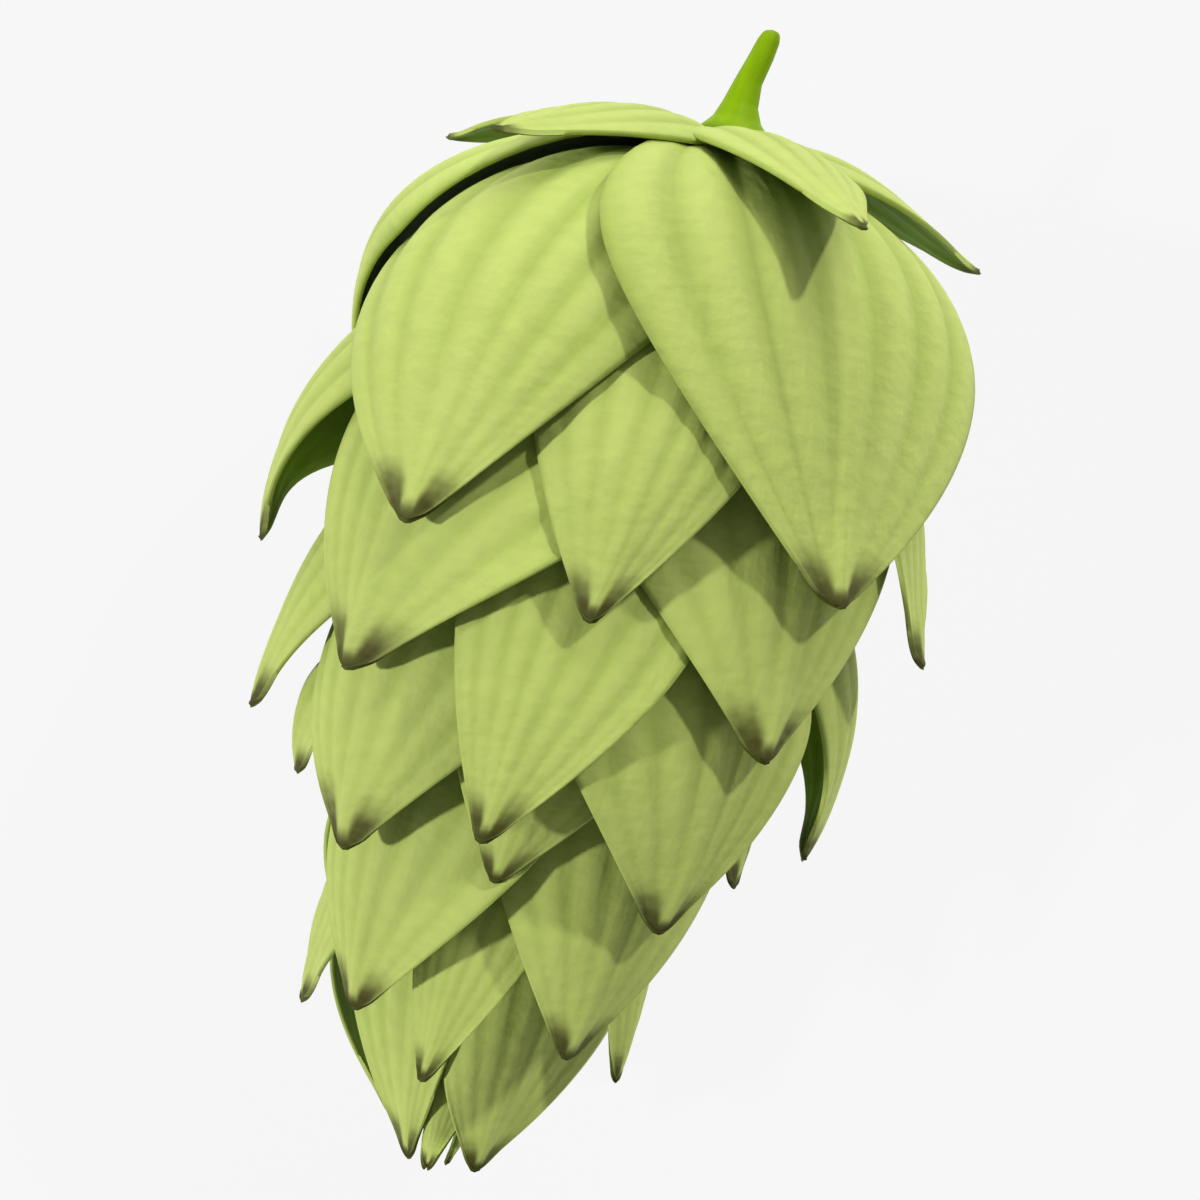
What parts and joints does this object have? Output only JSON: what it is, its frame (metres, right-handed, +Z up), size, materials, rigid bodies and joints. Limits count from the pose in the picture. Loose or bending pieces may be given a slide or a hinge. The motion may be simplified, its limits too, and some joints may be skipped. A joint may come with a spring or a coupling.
{
  "type": "hop cone",
  "caption": "Picked hop cone lying on its side: overlapping ribbed papery bracts with browned tips, in whorls round a bowed strig, with a short bent stem.",
  "frame": {"origin": "on the surface the cone lies on, under the middle of its box", "axes": "+Z up from the surface, +Y along the length towards the stem end, +X to the right seen from above with the stem end at the top"},
  "size_m": [0.0366, 0.066, 0.0346],
  "materials": {
    "bract": "matte pale yellow-green leaf, browned at the tips",
    "stem": "smooth fresh green shoot"
  },
  "bodies": {
    "root": {"cone": "bract", "stem": "stem"}
  },
  "joints": []
}
